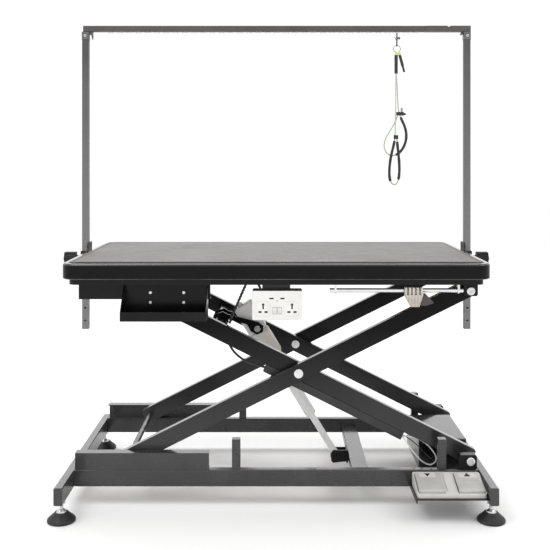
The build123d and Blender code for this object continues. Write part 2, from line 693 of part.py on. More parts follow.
# tool tray: folded sheet with a tall back, sloped cheeks and a low front lip
TT = 2.0
with BuildPart() as tool_tray:
    with BuildSketch(plane_y(-221)):
        with Locations((-326, 614)):
            Rectangle(248, 100)
    extrude(amount=TT)
    with BuildSketch(Plane.XY.offset(564)):
        with Locations((-326, -260.5)):
            Rectangle(248, 79)
    extrude(amount=TT)
    with BuildSketch(plane_y(-298)):
        with Locations((-326, 577.5)):
            Rectangle(248, 27)
    extrude(amount=TT)
    for x in (-450.0, -204.0):
        with BuildSketch(Plane.YZ.offset(x)):
            with BuildLine():
                Polyline((-300, 564), (-221, 564), (-221, 662), (-233, 662), (-300, 591), (-300, 564))
            make_face()
        extrude(amount=TT)
    with BuildSketch(plane_y(-220)):
        with Locations((-373, 636), (-274, 636), (-373, 607), (-274, 607)):
            Circle(2.55)
    extrude(amount=4, mode=Mode.SUBTRACT)
save(tool_tray, "tool_tray")

with BuildPart() as tray_screws:
    with BuildSketch(plane_y(-217.5)):
        with Locations((-373, 636), (-274, 636), (-373, 607), (-274, 607)):
            Circle(2.5)
    extrude(amount=6)
    with BuildSketch(plane_y(-223)):
        with Locations((-373, 636), (-274, 636), (-373, 607), (-274, 607)):
            Circle(5)
    extrude(amount=3)
    chamfer(tray_screws.faces().filter_by(Axis.Y).group_by(Axis.Y)[0].edges(), 1)
save(tray_screws, "tray_screws")

# mains socket box with its hanger bracket
SB_Y0, SB_Y1 = -284.0, -238.0
SB_X, SB_Z = 3.0, 608.0
OUT_X = (-39.0, 44.5)
with BuildPart() as socket_box:
    with BuildSketch(plane_y(SB_Y1)):
        with Locations((SB_X, SB_Z)):
            RectangleRounded(146, 86, 5)
    extrude(amount=SB_Y1 - SB_Y0)
    fillet(socket_box.faces().sort_by(Axis.Y)[0].edges(), 2.5)
    # outlet slots
    with BuildSketch(plane_y(SB_Y0 + 9)):
        for ox in OUT_X:
            # universal pattern: stepped upper slot and two splayed lower slots
            with Locations((ox + 1, 605.5)):
                RectangleRounded(4.4, 17, 1.4)
            with Locations((ox + 1, 610.5)):
                Rectangle(7.5, 3.6)
            with Locations((ox - 8, 589), (ox + 9.5, 589)):
                RectangleRounded(9.5, 5.4, 1.6)
    extrude(amount=12, mode=Mode.SUBTRACT)
    # outlet bezels
    with BuildSketch(plane_y(SB_Y0)):
        for ox in OUT_X:
            with Locations((ox, 598)):
                RectangleRounded(44, 44, 9)
                RectangleRounded(41, 41, 8, mode=Mode.SUBTRACT)
    extrude(amount=0.8)
    # charging ports and lamp
    with BuildSketch(plane_y(SB_Y0 + 10)):
        with Locations((-14, 628), (17.6, 628)):
            Rectangle(12.5, 4.2)
    extrude(amount=12, mode=Mode.SUBTRACT)
    with BuildSketch(plane_y(SB_Y0)):
        with Locations((2.2, 622)):
            Circle(1.8)
    extrude(amount=0.8)
    # wells of the two rocker switches
    with BuildSketch(plane_y(SB_Y0 + 9)):
        with Locations((-4.6, 593), (9.6, 593)):
            Rectangle(12.4, 20.4)
    extrude(amount=12, mode=Mode.SUBTRACT)
    # cable gland at the back
    with BuildSketch(plane_y(SB_Y1 + 8)):
        with Locations((-45, 636)):
            Circle(7)
    extrude(amount=8)
    # hanger bracket up to the sub-frame
    with BuildSketch(plane_y(SB_Y1)):
        with Locations((0, 657)):
            Rectangle(82, 16)
    extrude(amount=14)
save(socket_box, "socket_box")

for rx, tag in ((-4.6, "left"), (9.6, "right")):
    with BuildPart() as rocker:
        with BuildSketch(Plane.YZ.offset(rx - 5.6)):
            with BuildLine():
                Polyline((-278, 584.6), (-283.6, 583.8), (-286.2, 593), (-283.6, 602.2), (-278, 601.4), (-278, 584.6))
            make_face()
        extrude(amount=11.2)
        # pivot pin
        with BuildSketch(Plane.YZ.offset(rx - 6.0)):
            with Locations((-277, 593)):
                Circle(1.6)
        extrude(amount=12)
    save(rocker, f"socket_rocker_{tag}")

with BuildPart() as accessory_rail:
    with BuildSketch(Plane.YZ.offset(156)):
        with Locations((-252, 647)):
            Circle(6.2)
    extrude(amount=391)
    for x in (170.0, 530.0):
        with BuildSketch(Plane.YZ.offset(x)):
            with Locations((-252, 655)):
                Rectangle(18, 20)
            with Locations((-252, 647)):
                Circle(9)
        extrude(amount=6)
save(accessory_rail, "accessory_rail")

# ribbed tool holster hooked on the rail, with its triangular stay
with BuildPart() as rail_holder:
    with BuildSketch(Plane.XY.offset(636)):
        with Locations((400, -266)):
            RectangleRounded(56, 14, 4)
    with BuildSketch(Plane.XY.offset(601)):
        with Locations((404, -263)):
            RectangleRounded(27, 12, 4)
    loft()
    with BuildSketch(Plane.XY.offset(636)):
        with Locations((377, -266), (388.5, -266), (400, -266), (411.5, -266), (423, -266)):
            Rectangle(6, 12)
    extrude(amount=21)
    with BuildSketch(plane_y(-258.6)):
        with BuildLine():
            Polyline((418, 640), (434, 640), (460, 612), (438, 604), (406, 604), (418, 640))
        make_face()
    extrude(amount=6)
    with BuildSketch(Plane.YZ.offset(376)):
        with Locations((-252, 647)):
            Circle(9.5)
            Circle(6.3, mode=Mode.SUBTRACT)
        with Locations((-262.2, 640)):
            Rectangle(4, 14)
    extrude(amount=44)
save(rail_holder, "rail_holder")

with BuildPart() as post_clamps:
    for sx in (-1, 1):
        # side plate screwed to the rim
        with BuildSketch(Plane.YZ.offset(625.0 if sx > 0 else -628.2)):
            with Locations((POST_Y, 710)):
                RectangleRounded(58, 88, 6)
        extrude(amount=3.2)
        # sleeve round the post
        with BuildSketch(Plane.XY.offset(676)):
            with Locations((sx * 641.4, POST_Y)):
                RectangleRounded(26.6, 29.2, 2.5)
            with Locations((sx * POST_X, POST_Y)):
                Rectangle(POST + 0.8, POST + 0.8, mode=Mode.SUBTRACT)
        extrude(amount=48)
        with BuildSketch(Plane.YZ.offset(654.0 if sx > 0 else -661.0)):
            with Locations((POST_Y, 700)):
                Circle(10)
        extrude(amount=7)
        with BuildSketch(Plane.YZ.offset(650.5 if sx > 0 else -662.0)):
            with Locations((POST_Y, 700)):
                Circle(5.05)
        extrude(amount=11.5, mode=Mode.SUBTRACT)
        # two screw heads in the plate
        with BuildSketch(Plane.YZ.offset(627 if sx > 0 else -630.5)):
            with Locations((POST_Y - 21, 740), (POST_Y + 21, 740), (POST_Y - 22, 680), (POST_Y + 22, 680)):
                Circle(4.2)
        extrude(amount=3.5)
save(post_clamps, "post_clamps")

for sx, tag in ((-1, "left"), (1, "right")):
    with BuildPart() as knob:
        with BuildSketch(Plane.YZ.offset(651.2 if sx > 0 else -672.5)):
            with Locations((POST_Y, 700)):
                Circle(5)
        extrude(amount=21.3)
        with BuildSketch(Plane.YZ.offset(672 if sx > 0 else -710)):
            with Locations((POST_Y, 700)):
                Circle(18.5)
                with PolarLocations(17, 6):
                    Circle(5.2)
        extrude(amount=38)
        fillet(knob.faces().sort_by(Axis.X)[-1 if sx > 0 else 0].edges(), 2)
        with BuildSketch(Plane.YZ.offset(664 if sx > 0 else -672.5)):
            with Locations((POST_Y, 700)):
                Circle(9)
        extrude(amount=8.5)
    save(knob, f"clamp_knob_{tag}")

# =====================================================================
# GANTRY
# =====================================================================
for sx, tag in ((-1, "left"), (1, "right")):
    with BuildPart() as post:
        with BuildSketch(Plane.XY.offset(POST_Z0)):
            with Locations((sx * POST_X, POST_Y)):
                RectangleRounded(POST, POST, 2.2)
                RectangleRounded(POST - 4, POST - 4, 1, mode=Mode.SUBTRACT)
        extrude(amount=1432 - POST_Z0)
        with BuildSketch(plane_y(POST_Y - POST / 2 + 3)):
            with Locations([(sx * POST_X, 491.5 + HOLE_P * i) for i in range(6)]):
                Circle(3.4)
        extrude(amount=5, mode=Mode.SUBTRACT)
    save(post, f"post_{tag}")

with BuildPart() as post_caps:
    for sx in (-1, 1):
        with BuildSketch(Plane.XY.offset(1432)):
            with Locations((sx * POST_X, POST_Y)):
                RectangleRounded(23.4, 26, 2.5)
        extrude(amount=26)
        with BuildSketch(Plane.XY.offset(1400)):
            with Locations((sx * POST_X, POST_Y)):
                Rectangle(17.4, 17.4)
        extrude(amount=33)
        # bright cross screw in the front face
        with BuildSketch(plane_y(POST_Y - 13)):
            with Locations((sx * POST_X, 1445)):
                Circle(4.2)
        extrude(amount=1.6)
        # tab under the bar
        with BuildSketch(plane_y(POST_Y + 4)):
            with BuildLine():
                if sx > 0:
                    Polyline((628.5, 1450), (621, 1448), (617, 1450), (621, 1457.8), (628.5, 1457.8), (628.5, 1450))
                else:
                    Polyline((-628.5, 1449), (-621, 1449), (-619, 1438), (-616.5, 1431), (-614.5, 1440), (-615, 1457.8), (-628.5, 1457.8), (-628.5, 1449))
            make_face()
        extrude(amount=8)
save(post_caps, "post_caps")

HOOK_X = 405.0
with BuildPart() as top_bar:
    with BuildSketch(Plane.YZ.offset(-647)):
        with Locations((POST_Y, (BAR_Z0 + BAR_Z1) / 2)):
            RectangleRounded(20, 20, 2.2)
            RectangleRounded(16, 16, 1, mode=Mode.SUBTRACT)
    extrude(amount=1147)
    with BuildSketch(Plane.YZ.offset(500)):
        with Locations((POST_Y, (BAR_Z0 + BAR_Z1) / 2)):
            RectangleRounded(22, 21, 2.4)
            RectangleRounded(16, 16, 1, mode=Mode.SUBTRACT)
    extrude(amount=151)
    # V notch where the outer sleeve is locked
    with BuildSketch(plane_y(POST_Y + 12)):
        with BuildLine():
            Polyline((569, 1480), (587, 1480), (578, 1474.5), (569, 1480))
        make_face()
    extrude(amount=24, mode=Mode.SUBTRACT)
    # row of hanger loops along the underside
    with BuildSketch(plane_y(POST_Y + 1.2)):
        with Locations([(HOOK_X - 31 * i, 1452.0) for i in range(-2, 32)]):
            SlotOverall(17.6, 10.6)
        with Locations([(HOOK_X - 31 * i, 1455.6) for i in range(-2, 32)]):
            Rectangle(17.6, 7)
        with Locations([(HOOK_X - 31 * i, 1452.0) for i in range(-2, 32)]):
            SlotOverall(14, 7, mode=Mode.SUBTRACT)
    extrude(amount=2.4)
save(top_bar, "top_bar")

# =====================================================================
# NOOSE SET
# =====================================================================
NY = 112.0
RING_Z = 1402.0
# snap hook: wire eye through the strip, straight shank with a thumb lever, and a swivel eye below
with BuildPart() as snap_hook:
    with BuildLine() as eye:
        FilletPolyline(
            (HOOK_X, NY - 2.0, 1436.0),
            (HOOK_X, NY - 7.5, 1444.5),
            (HOOK_X, NY - 5.5, 1452.0),
            (HOOK_X, NY + 5.5, 1452.0),
            (HOOK_X, NY + 7.5, 1444.5),
            (HOOK_X, NY + 2.0, 1436.0),
            radius=3.4,
        )
    with BuildSketch(Plane(origin=eye.line @ 0, z_dir=eye.line % 0)):
        Circle(1.5)
    sweep()
    with BuildSketch(Plane.XY.offset(1415.5)):
        with Locations((HOOK_X, NY)):
            Circle(2.6)
    extrude(amount=22)
    with BuildSketch(Plane.YZ.offset(HOOK_X)):
        with Locations((NY, 1438)):
            RectangleRounded(4, 8, 1.5)
    extrude(amount=11)
    # spring gate
    with BuildSketch(Plane(origin=(HOOK_X, NY, 1429), z_dir=(-0.53, 0, 0.848))):
        Circle(1.2)
    extrude(amount=16)
    # bead that turns in the loop
    with BuildSketch(Plane.YZ.offset(HOOK_X - 2.6)):
        with Locations((NY, 1452)):
            Circle(2.4)
    extrude(amount=5.2)
    with BuildSketch(Plane.YZ.offset(HOOK_X - 1.3)):
        with Locations((NY, 1413.4)):
            Circle(4.6)
    extrude(amount=2.6)
    with BuildSketch(Plane.YZ.offset(HOOK_X - 3)):
        with Locations((NY, 1413.2)):
            Circle(2.3)
    extrude(amount=6, mode=Mode.SUBTRACT)
save(snap_hook, "snap_hook")

# ring, knot, shrink sleeves, sliding locks and crimp of the noose set
SL_Z0, SL_Z1 = 1319.0, 1383.0
with BuildPart() as noose_fittings:
    with BuildSketch(Plane.XY.offset(RING_Z)):
        with Locations((HOOK_X + 12, NY)):
            Circle(1.4)
    revolve(axis=Axis((HOOK_X, NY, RING_Z), (0, 1, 0)))
    with BuildSketch(Plane.XY.offset(SL_Z1 - 2)):
        with Locations((HOOK_X + 3.5, NY)):
            RectangleRounded(19, 10, 4)
    extrude(amount=9)
    with BuildSketch(Plane.XY.offset(SL_Z0)):
        with Locations((402.5, NY)):
            RectangleRounded(11, 13, 5)
    extrude(amount=SL_Z1 - SL_Z0)
    with BuildSketch(Plane(origin=(414, NY, 1384), x_dir=(0, 1, 0), z_dir=(0.2577, 0, -0.9662))):
        Circle(4.8)
    extrude(amount=42)
    with BuildSketch(Plane(origin=(414, NY, 1384), x_dir=(0, 1, 0), z_dir=(0.2577, 0, -0.9662))):
        Circle(3.6)
    extrude(amount=62)
    # lock of the long noose
    with BuildSketch(Plane.XY.offset(1099)):
        with Locations((401.5, CORD_A_Y)):
            RectangleRounded(15, 11, 4)
    extrude(amount=13)
    # lock of the short noose, with its crimp
    with BuildSketch(plane_y(CORD_B_Y + 5.5)):
        with BuildLine():
            Polyline((404, 1190), (404, 1179), (428, 1178), (438, 1182), (426, 1190), (404, 1190))
        make_face()
    extrude(amount=11)
    with BuildSketch(Plane.XY.offset(1190)):
        with Locations((422, CORD_B_Y)):
            Circle(3.4)
    extrude(amount=14)
save(noose_fittings, "noose_fittings")


def corner_radii(points):
    """Radius of each corner of a cord's route: 0.45 of the shorter run over the tangent of half the turn."""
    radii = []
    for p, q, r in zip(points, points[1:], points[2:]):
        a, b = Vector(*q) - Vector(*p), Vector(*r) - Vector(*q)
        half = math.radians(a.get_angle(b)) / 2
        radii.append(0.45 * min(a.length, b.length) / math.tan(half))
    return radii


CORDS = {
    "noose_cord_long": (4.2, NOOSE_LONG),
    "noose_cord_short": (4.2, NOOSE_SHORT),
    "socket_cable_upper": (8.0, CABLE_UPPER),
    "socket_cable_lower": (8.0, CABLE_LOWER),
    "control_wires": (7.0, WIRES),
}
for cord_name, (cord_d, route) in CORDS.items():
    radii = corner_radii(route)
    with BuildPart() as cord:
        with BuildLine() as path:
            FilletPolyline(*route, radius=radii)
        with BuildSketch(Plane(origin=path.line @ 0, z_dir=path.line % 0)):
            Circle(cord_d / 2)
        sweep()
    save(cord, cord_name)
    run = sum(e.length for e in path.line.edges())
    want = math.pi * cord_d**2 / 4 * run
    print(f"  length {run:.1f} mm, volume ratio {cord.part.volume / want:.4f}, radii " + " ".join(f"{r:.0f}" for r in radii))
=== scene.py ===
import bpy, bmesh, math, json
from mathutils import Vector, Matrix

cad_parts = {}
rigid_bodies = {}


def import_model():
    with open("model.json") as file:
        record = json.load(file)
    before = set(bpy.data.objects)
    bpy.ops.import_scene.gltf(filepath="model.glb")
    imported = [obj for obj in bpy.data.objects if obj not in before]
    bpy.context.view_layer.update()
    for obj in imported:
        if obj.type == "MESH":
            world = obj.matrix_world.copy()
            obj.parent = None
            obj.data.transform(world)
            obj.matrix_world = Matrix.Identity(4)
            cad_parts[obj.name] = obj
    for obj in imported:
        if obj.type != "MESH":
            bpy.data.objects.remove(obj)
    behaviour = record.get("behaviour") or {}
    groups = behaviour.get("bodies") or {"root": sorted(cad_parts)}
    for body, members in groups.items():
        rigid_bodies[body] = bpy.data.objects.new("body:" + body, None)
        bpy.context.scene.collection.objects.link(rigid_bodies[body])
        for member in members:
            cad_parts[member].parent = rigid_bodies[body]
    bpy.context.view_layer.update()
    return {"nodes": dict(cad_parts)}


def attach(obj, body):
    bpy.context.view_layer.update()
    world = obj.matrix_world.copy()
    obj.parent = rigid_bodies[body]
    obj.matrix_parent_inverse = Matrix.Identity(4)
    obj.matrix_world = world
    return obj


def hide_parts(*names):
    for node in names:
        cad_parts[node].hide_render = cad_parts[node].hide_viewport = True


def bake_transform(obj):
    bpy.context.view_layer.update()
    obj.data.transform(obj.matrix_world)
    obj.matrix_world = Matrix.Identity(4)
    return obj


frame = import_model()
scene = bpy.context.scene


# ------------------------------------------------------------------ camera
cam_data = bpy.data.cameras.new("camera")
cam = bpy.data.objects.new("camera", cam_data)
scene.collection.objects.link(cam)
scene.camera = cam
cam_data.sensor_width = 36.0
cam_data.lens = 845.0 * 36.0 / 550.0
cam.location = (0.0, -2.727, 1.028)
cam.rotation_euler = (math.radians(90.0), 0.0, 0.0)
cam_data.shift_x = (275.0 - 276.3) / 550.0
cam_data.shift_y = -(275.0 - 160.2) / 550.0
cam_data.clip_end = 60.0

# ------------------------------------------------------------------ light and floor
world = bpy.data.worlds.new("world")
scene.world = world
world.use_nodes = True
bg = world.node_tree.nodes["Background"]
bg.inputs["Color"].default_value = (1.0, 1.0, 1.0, 1.0)
bg.inputs["Strength"].default_value = 1.04
scene.view_settings.view_transform = "Standard"


def area(name, loc, aim, size, power, spread=None):
    data = bpy.data.lights.new(name, "AREA")
    data.shape = "RECTANGLE"
    data.size, data.size_y = size
    data.energy = power
    ob = bpy.data.objects.new(name, data)
    ob.location = loc
    ob.rotation_euler = (Vector(aim) - Vector(loc)).to_track_quat("-Z", "Y").to_euler()
    scene.collection.objects.link(ob)
    return ob


area("key", (-1.8, -1.6, 3.6), (0, 0, 0.6), (2.0, 1.4), 34)
area("fill", (2.6, -1.4, 2.6), (0, 0, 0.6), (1.4, 1.4), 14)
area("top", (0.0, 1.4, 3.4), (0, 0.1, 0.7), (2.8, 1.4), 46)


# ------------------------------------------------------------------ node helper
class G:
    """Small helper that builds a principled material from procedural nodes."""

    def __init__(self, name):
        self.m = bpy.data.materials.new(name)
        self.m.use_nodes = True
        self.t = self.m.node_tree
        self.t.nodes.clear()
        self.out = self.t.nodes.new("ShaderNodeOutputMaterial")
        self.b = self.t.nodes.new("ShaderNodeBsdfPrincipled")
        self.t.links.new(self.b.outputs["BSDF"], self.out.inputs["Surface"])
        self.co = self.t.nodes.new("ShaderNodeTexCoord").outputs["Object"]

    def link(self, a, b):
        self.t.links.new(a, b)

    def put(self, sock, v):
        if hasattr(v, "is_linked") or isinstance(v, bpy.types.NodeSocket):
            self.link(v, sock)
        else:
            sock.default_value = v

    def math(self, op, a, b=0.0, c=None, clamp=False):
        n = self.t.nodes.new("ShaderNodeMath")
        n.operation = op
        n.use_clamp = clamp
        self.put(n.inputs[0], a)
        self.put(n.inputs[1], b)
        if c is not None:
            self.put(n.inputs[2], c)
        return n.outputs[0]

    def scaled(self, s):
        n = self.t.nodes.new("ShaderNodeMapping")
        n.inputs["Scale"].default_value = s
        self.link(self.co, n.inputs["Vector"])
        return n.outputs["Vector"]

    def noise(self, scale, detail=4.0, rough=0.55, vec=None):
        n = self.t.nodes.new("ShaderNodeTexNoise")
        n.inputs["Scale"].default_value = scale
        n.inputs["Detail"].default_value = detail
        n.inputs["Roughness"].default_value = rough
        self.link(vec if vec is not None else self.co, n.inputs["Vector"])
        return n.outputs["Fac"]

    def voronoi(self, scale, feature="F1", vec=None):
        n = self.t.nodes.new("ShaderNodeTexVoronoi")
        n.feature = feature
        n.inputs["Scale"].default_value = scale
        self.link(vec if vec is not None else self.co, n.inputs["Vector"])
        return n.outputs["Distance"]

    def ramp(self, v, lo, hi, a=0.0, b=1.0):
        n = self.t.nodes.new("ShaderNodeMapRange")
        n.clamp = True
        self.link(v, n.inputs["Value"])
        n.inputs["From Min"].default_value = lo
        n.inputs["From Max"].default_value = hi
        n.inputs["To Min"].default_value = a
        n.inputs["To Max"].default_value = b
        return n.outputs["Result"]

    def mix(self, fac, a, b):
        n = self.t.nodes.new("ShaderNodeMix")
        n.data_type = "RGBA"
        self.put(n.inputs["Factor"], fac)
        for s, v in ((n.inputs[6], a), (n.inputs[7], b)):
            if isinstance(v, (tuple, list)):
                s.default_value = (*v[:3], 1.0)
            else:
                self.link(v, s)
        return n.outputs[2]

    def xyz(self):
        n = self.t.nodes.new("ShaderNodeSeparateXYZ")
        self.link(self.co, n.inputs[0])
        return n.outputs

    def bump(self, height, strength=0.2, distance=0.001, normal=None):
        n = self.t.nodes.new("ShaderNodeBump")
        n.inputs["Strength"].default_value = strength
        n.inputs["Distance"].default_value = distance
        self.link(height, n.inputs["Height"])
        if normal is not None:
            self.link(normal, n.inputs["Normal"])
        return n.outputs["Normal"]

    def finish(self, color, rough, normal=None, metallic=0.0, coat=0.0, coat_rough=0.1, spec=0.5):
        b = self.b
        if isinstance(color, (tuple, list)):
            b.inputs["Base Color"].default_value = (*color[:3], 1.0)
        else:
            self.link(color, b.inputs["Base Color"])
        self.put(b.inputs["Roughness"], rough)
        self.put(b.inputs["Metallic"], metallic)
        b.inputs["Coat Weight"].default_value = coat
        b.inputs["Coat Roughness"].default_value = coat_rough
        b.inputs["Specular IOR Level"].default_value = spec
        if normal is not None:
            self.link(normal, b.inputs["Normal"])
        return self.m


def gloss_top(g, lo, hi, z0=0.35, z1=0.85, ior=1.5):
    """Coat weight that rises on faces that look up, where dust-free lacquer shows."""
    n = g.t.nodes.new("ShaderNodeNewGeometry")
    sep = g.t.nodes.new("ShaderNodeSeparateXYZ")
    g.link(n.outputs["Normal"], sep.inputs[0])
    g.link(g.ramp(sep.outputs["Z"], z0, z1, lo, hi), g.b.inputs["Coat Weight"])
    g.b.inputs["Coat IOR"].default_value = ior


def coated(name, dark, light, rough, scale=9.0, peel=520.0, peel_s=0.12, coat=0.0, wear=(0.30, 0.30, 0.29), wear_amt=0.35, spec=0.5, top=None, ior=1.5, painted_floor_light=None):
    """Powder-coated or painted metal: cloudy tone, orange peel, faint rub marks and dust, optionally with painted floor
    light lower down.
    """
    g = G(name)
    cloud = g.noise(scale, 5)
    col = g.mix(g.ramp(cloud, 0.35, 0.7), dark, light)
    rub = g.noise(38, 6, 0.7, g.scaled((1.0, 1.0, 3.2)))
    mask = g.ramp(rub, 0.66, 0.80, 0.0, wear_amt)
    col = g.mix(mask, col, wear)
    fine = g.noise(peel, 2, 0.5)
    scr = g.noise(70, 3, 0.6, g.scaled((0.4, 1.0, 9.0)))
    r = g.math("ADD", g.ramp(cloud, 0.3, 0.75, rough - 0.05, rough + 0.07), g.ramp(scr, 0.55, 0.8, 0.0, 0.08))
    m = g.finish(col, r, g.bump(g.math("ADD", fine, g.math("MULTIPLY", scr, 0.25)), peel_s, 0.0003), coat=coat, spec=spec)
    if top is not None:
        gloss_top(g, coat, top, ior=ior)
    if painted_floor_light is not None:
        # painted floor light: the lacquer is painted lighter and more specular lower down, toward the pale floor, and
        # darker with height
        z = g.xyz()["Z"]
        g.link(g.ramp(z, painted_floor_light[0], painted_floor_light[1], painted_floor_light[2], painted_floor_light[3]), g.b.inputs["Specular IOR Level"])
        g.link(g.mix(g.ramp(z, painted_floor_light[0], painted_floor_light[1]), g.mix(mask, g.mix(g.ramp(cloud, 0.35, 0.7), painted_floor_light[4], painted_floor_light[5]), wear), col), g.b.inputs["Base Color"])
    return m


def moulded(name, dark, light, rough, grain=900.0, grain_s=0.25, coat=0.0, spec=0.5, top=None, ior=1.5):
    """Moulded plastic: fine spark-eroded grain with soft tone drift."""
    g = G(name)
    cloud = g.noise(14, 4)
    col = g.mix(g.ramp(cloud, 0.3, 0.75), dark, light)
    cells = g.voronoi(grain)
    fine = g.noise(grain * 0.6, 3)
    h = g.math("ADD", cells, g.math("MULTIPLY", fine, 0.6))
    r = g.ramp(g.noise(45, 5), 0.3, 0.75, rough - 0.06, rough + 0.08)
    m = g.finish(col, r, g.bump(h, grain_s, 0.0004), coat=coat, spec=spec)
    if top is not None:
        gloss_top(g, coat, top, ior=ior)
    return m


def metal(name, a, b, rough, direction=(1.0, 1.0, 1.0), fine=600.0, bump_s=0.1):
    """Bare or plated metal: brushing along one direction, stain and roughness breakup."""
    g = G(name)
    br = g.noise(fine, 3, 0.6, g.scaled(direction))
    st = g.noise(25, 5)
    col = g.mix(g.ramp(st, 0.35, 0.75), a, b)
    r = g.math("ADD", g.ramp(br, 0.3, 0.7, rough - 0.04, rough + 0.10), g.ramp(st, 0.55, 0.8, 0.0, 0.08))
    return g.finish(col, r, g.bump(br, bump_s, 0.0003), metallic=0.95)


def assign(mat, *nodes):
    for n in nodes:
        o = frame["nodes"][n] if isinstance(frame["nodes"], dict) else bpy.data.objects[n]
        if not isinstance(o, bpy.types.Object):
            o = bpy.data.objects[n]
        if not o.material_slots:
            o.data.materials.append(mat)
        for s in o.material_slots:
            s.material = mat


# frame: satin black powder coat
m_frame = coated("powder_frame", (0.020, 0.020, 0.0205), (0.032, 0.032, 0.033), 0.26, coat=0.14, spec=0.42, wear_amt=0.05, peel_s=0.035, top=1.0, ior=2.0)
assign(m_frame, "base_long_rails", "base_cross_member", "rest_posts", "lower_tracks")
m_dark = coated("powder_upper", (0.003, 0.003, 0.0032), (0.007, 0.007, 0.0075), 0.34, coat=0.0, spec=0.22, wear_amt=0.04, peel_s=0.05, top=0.6)
assign(m_dark, "subframe", "upper_tracks", "upper_pivot_blocks", "lower_pivot_blocks", "actuator_base_bracket", "pedal_tray")
# painted floor light on the arms: the lighter base-frame tone and more specular lower down
m_arm = coated("powder_arms", (0.003, 0.003, 0.0033), (0.006, 0.006, 0.0065), 0.30, scale=6.0, coat=0.03, spec=0.2, wear_amt=0.04, peel_s=0.04, top=1.0, ior=2.0, painted_floor_light=(0.12, 0.52, 0.50, 0.06, (0.020, 0.020, 0.0205), (0.030, 0.030, 0.031)))
assign(m_arm, "inner_arm_front", "inner_arm_rear", "outer_arm_front", "outer_arm_rear", "inner_cross_tube", "actuator_top_bracket")
m_duct = moulded("duct_plastic", (0.012, 0.012, 0.013), (0.02, 0.02, 0.021), 0.42, 700)
assign(m_duct, "cable_duct")
m_tray = coated("tray_sheet", (0.003, 0.003, 0.0032), (0.007, 0.007, 0.0075), 0.24, scale=7.0, peel=640, peel_s=0.08, coat=0.03, spec=0.18, wear_amt=0.03, top=0.5)
assign(m_tray, "tool_tray")

# side rails carry bright weld nuts below their underside
g = G("powder_side_rails")
cloud = g.noise(8, 5)
body = g.mix(g.ramp(cloud, 0.35, 0.7), (0.020, 0.020, 0.0205), (0.032, 0.032, 0.033))
nut = g.math("LESS_THAN", g.xyz()["Z"], 0.0579)
col = g.mix(nut, body, (0.62, 0.62, 0.63))
m_side = g.finish(col, g.ramp(g.noise(60, 4), 0.3, 0.7, 0.22, 0.32), g.bump(g.noise(520, 2), 0.035, 0.0003), metallic=g.math("MULTIPLY", nut, 0.9), coat=0.14, spec=0.42)
gloss_top(g, 0.14, 1.0, ior=2.0)
assign(m_side, "base_side_rails")

m_bolt = metal("zinc_bolts", (0.62, 0.62, 0.64), (0.80, 0.80, 0.81), 0.24, (1.0, 1.0, 1.0), 500, 0.12)
assign(m_bolt, "base_pivot_bolts", "inner_arm_bolts", "outer_arm_bolts", "tray_screws")
m_axle = metal("ground_axle", (0.20, 0.20, 0.205), (0.32, 0.32, 0.325), 0.22, (1.0, 0.05, 1.0), 700, 0.12)
assign(m_axle, "lower_axle")
m_roller = moulded("nylon_roller", (0.020, 0.020, 0.020), (0.035, 0.035, 0.035), 0.45, 500)
assign(m_roller, "upper_rollers", "lower_rollers")
m_box = moulded("box_plastic", (0.003, 0.003, 0.0032), (0.007, 0.007, 0.0075), 0.20, 1100, 0.02, coat=0.06, spec=0.22, top=1.0, ior=2.1)
assign(m_box, "control_box")
m_knob = moulded("knob_plastic", (0.003, 0.003, 0.003), (0.008, 0.008, 0.008), 0.38, 800, 0.12, spec=0.25)
assign(m_knob, "clamp_knob_left", "clamp_knob_right")
m_clamp = coated("clamp_plate", (0.006, 0.006, 0.0062), (0.012, 0.012, 0.0125), 0.34, spec=0.3, wear_amt=0.15)
assign(m_clamp, "post_clamps")

# pedals: pale housing, greyer plates whose raised triangles are black
m_ped = moulded("pedal_housing_plastic", (0.56, 0.55, 0.525), (0.66, 0.65, 0.625), 0.40, 900, 0.14)
assign(m_ped, "pedal_housing")
for node, xc, flip in (("pedal_down", 0.4415, 1.0), ("pedal_up", 0.5575, -1.0)):
    g = G(node + "_plastic")
    s = g.xyz()
    yc = -0.2535
    # triangle mask: half-width grows from the apex to the base
    run = g.math("MULTIPLY_ADD", g.math("SUBTRACT", s["Y"], yc), flip, 0.0085)
    half = g.math("MULTIPLY", run, 0.60)
    tri = g.math("MULTIPLY", g.math("LESS_THAN", g.math("ABSOLUTE", g.math("SUBTRACT", s["X"], xc)), half), g.math("LESS_THAN", run, 0.0155))
    panel = g.math("MULTIPLY", g.math("GREATER_THAN", s["Y"], -0.2640), g.math("LESS_THAN", g.math("ABSOLUTE", g.math("SUBTRACT", s["X"], xc)), 0.024))
    col = g.mix(g.ramp(g.noise(16, 5), 0.3, 0.75), (0.42, 0.417, 0.403), (0.51, 0.506, 0.49))
    smear = g.noise(30, 5, 0.6, g.scaled((1.0, 0.25, 1.0)))
    col = g.mix(g.ramp(smear, 0.55, 0.8, 0.0, 0.3), col, (0.33, 0.325, 0.31))
    col = g.mix(g.math("MULTIPLY", panel, 0.85), col, (0.62, 0.61, 0.59))
    col = g.mix(tri, col, (0.012, 0.012, 0.012))
    m = g.finish(col, g.ramp(g.noise(60, 4), 0.3, 0.75, 0.36, 0.50), g.bump(g.noise(900, 3), 0.12, 0.0004))
    assign(m, node)

